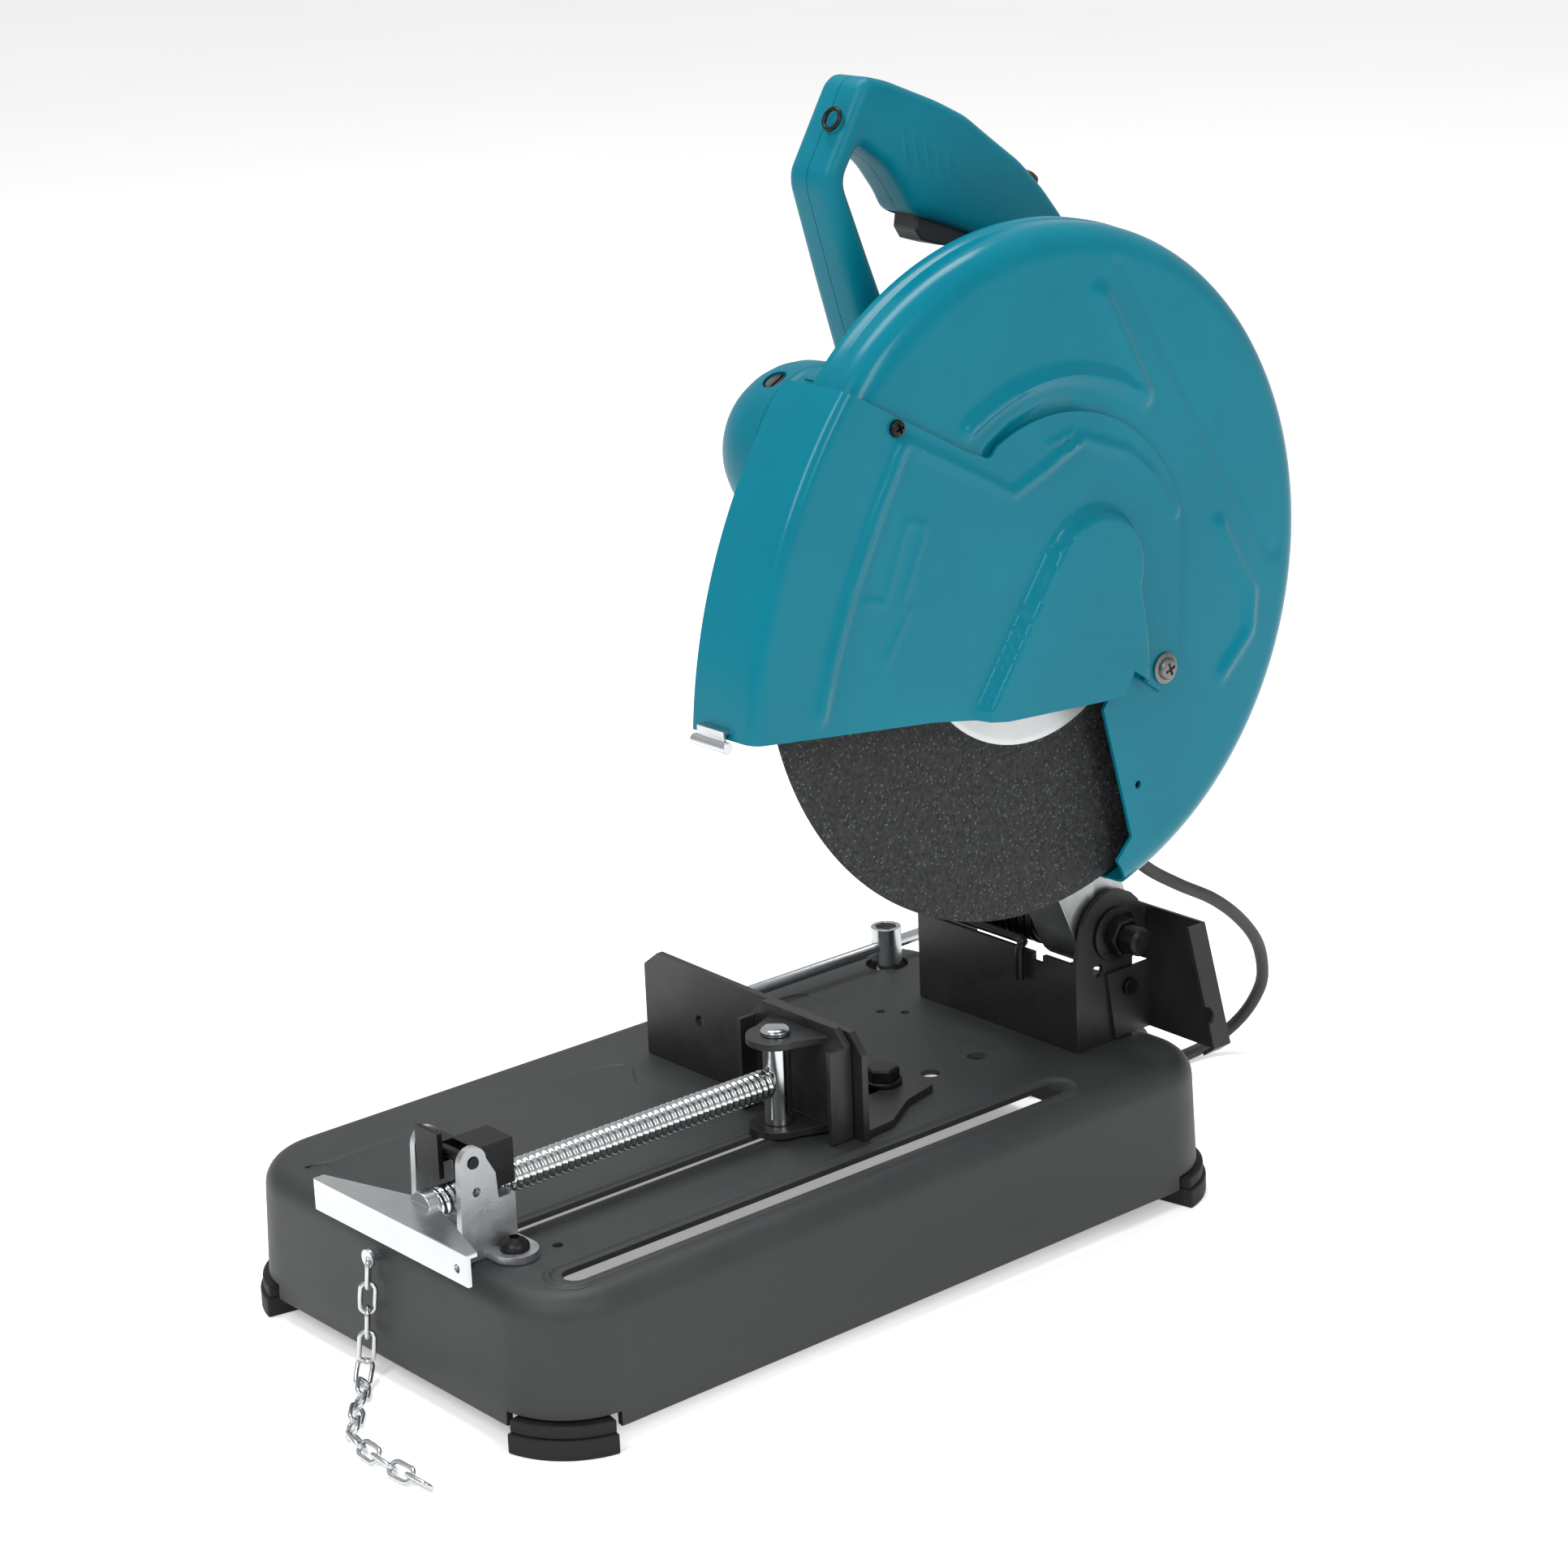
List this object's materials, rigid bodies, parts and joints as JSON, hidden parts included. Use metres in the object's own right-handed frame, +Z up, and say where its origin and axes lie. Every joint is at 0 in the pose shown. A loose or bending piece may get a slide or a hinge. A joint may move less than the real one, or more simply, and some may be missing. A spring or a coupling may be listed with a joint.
{
  "type": "abrasive chop saw",
  "caption": "Bench-top abrasive chop saw: pressed base with a quick-release screw vise and swivelling guide plate, and a sprung head with motor, guards, D-handle and cutting wheel.",
  "frame": {"origin": "under the middle of the saw on the bench, leaving out the cord and plug", "axes": "+Z up, +X to the operator's right, +Y away from the operator"},
  "size_m": [0.292, 0.6973, 0.628],
  "materials": {
    "teal_paint": "gloss",
    "teal_plastic": "satin",
    "dark_paint": "matte, fine texture",
    "black_steel": "satin",
    "black_plastic": "matte",
    "zinc": "bright zinc",
    "cast_aluminium": "as cast",
    "abrasive": "coarse grit",
    "rubber": "matte",
    "core_steel": "laminated"
  },
  "bodies": {
    "base": {"base_shell": "dark_paint", "foot_front_left": "rubber", "foot_front_right": "rubber", "foot_rear_left": "rubber", "foot_rear_right": "rubber", "pivot_bracket": "black_steel", "pivot_bolt": "black_steel", "pivot_nut": "black_steel", "torsion_spring": "black_steel", "spring_rod": "black_steel", "spark_guard": "black_steel", "spark_guard_screw": "black_steel", "guide_bolt_right": "black_steel", "guide_bolt_left": "black_steel", "vise_bracket": "cast_aluminium", "vise_bracket_bolt_right": "black_steel", "vise_bracket_bolt_left": "black_steel", "chain_screw": "zinc", "lock_chain": "zinc", "power_cord": "rubber", "cord_coil": "rubber", "mains_plug": "rubber"},
    "guide": {"guide_plate": "black_steel"},
    "half_nut_body": {"half_nut": "black_steel"},
    "jaw": {"vise_plate": "black_steel", "vise_pin": "zinc"},
    "crank": {"vise_screw": "zinc", "vise_handle": "zinc"},
    "wrench": {"socket_wrench": "zinc"},
    "head": {"arm": "cast_aluminium", "gear_cover": "cast_aluminium", "motor_housing": "teal_plastic", "motor_end_cover": "teal_plastic", "stator": "core_steel", "spindle_bearing_left": "zinc", "spindle_bearing_right": "zinc", "armature_bearing_front": "zinc", "armature_bearing_rear": "zinc", "brush_upper": "black_plastic", "brush_lower": "black_plastic", "upper_guard": "teal_paint", "handle_left": "teal_plastic", "handle_right": "teal_plastic", "switch_block": "black_plastic", "handle_ring": "black_steel", "cord_gland": "rubber", "cover_pivot_screw": "black_steel"},
    "trigger_body": {"trigger": "black_plastic"},
    "button_body": {"lock_off_button": "black_plastic"},
    "cover": {"centre_cover": "teal_paint", "cover_hook": "zinc", "cover_clamp_screw": "black_steel"},
    "rotor": {"armature": "core_steel", "cooling_fan": "black_plastic"},
    "cutting_head": {"spindle": "zinc", "drive_gear": "zinc", "inner_flange": "zinc", "cutting_wheel": "abrasive", "outer_flange": "zinc", "wheel_bolt": "zinc"}
  },
  "joints": [
    {"name": "head_pivot", "type": "hinge", "parent": "base", "child": "head", "pos_m": [0, 0.19836, 0.14602], "axis": [1, 0, 0], "range_deg": [0, 40.3], "stiffness_Nm_per_rad": 16, "springref_deg": -31.51},
    {"name": "wheel_spin", "type": "hinge", "parent": "head", "child": "cutting_head", "pos_m": [0.11, 0.11336, 0.36562], "axis": [1, 0, 0], "continuous": true},
    {"name": "armature_spin", "type": "hinge", "parent": "head", "child": "rotor", "pos_m": [0, 0.15336, 0.39902], "axis": [1, 0, 0], "continuous": true},
    {"name": "cover_swing", "type": "hinge", "parent": "head", "child": "cover", "pos_m": [0.132, 0.18936, 0.31002], "axis": [1, 0, 0], "range_deg": [-45, 0]},
    {"name": "trigger_slide", "type": "slide", "parent": "head", "child": "trigger_body", "axis": [0, 0.33, 0.944], "range_m": [0, 0.005], "stiffness_N_per_m": 800, "springref_m": -0.002},
    {"name": "lock_off_slide", "type": "slide", "parent": "head", "child": "button_body", "axis": [0, -0.7071, -0.7071], "range_m": [0, 0.0035], "stiffness_N_per_m": 400, "springref_m": -0.002},
    {"name": "guide_swivel", "type": "hinge", "parent": "base", "child": "guide", "pos_m": [-0.08, 0.03536, 0.08502], "axis": [0, 0, 1], "range_deg": [0, 15]},
    {"name": "vise_slide", "type": "slide", "parent": "base", "child": "jaw", "axis": [0, -1, 0], "range_m": [0, 0.16]},
    {"name": "screw_spin", "type": "hinge", "parent": "jaw", "child": "crank", "pos_m": [0.047, -0.12464, 0.11202], "axis": [0, 1, 0], "continuous": true},
    {"name": "half_nut_lift", "type": "hinge", "parent": "base", "child": "half_nut_body", "pos_m": [0.043, -0.22464, 0.13502], "axis": [1, 0, 0], "range_deg": [0, 40]},
    {"name": "wrench_lift", "type": "slide", "parent": "base", "child": "wrench", "axis": [0, 0, 1], "range_m": [0, 0.05]}
  ],
  "couplings": [
    {"joint": "armature_spin", "follows": "wheel_spin", "ratio": -5.625}
  ]
}
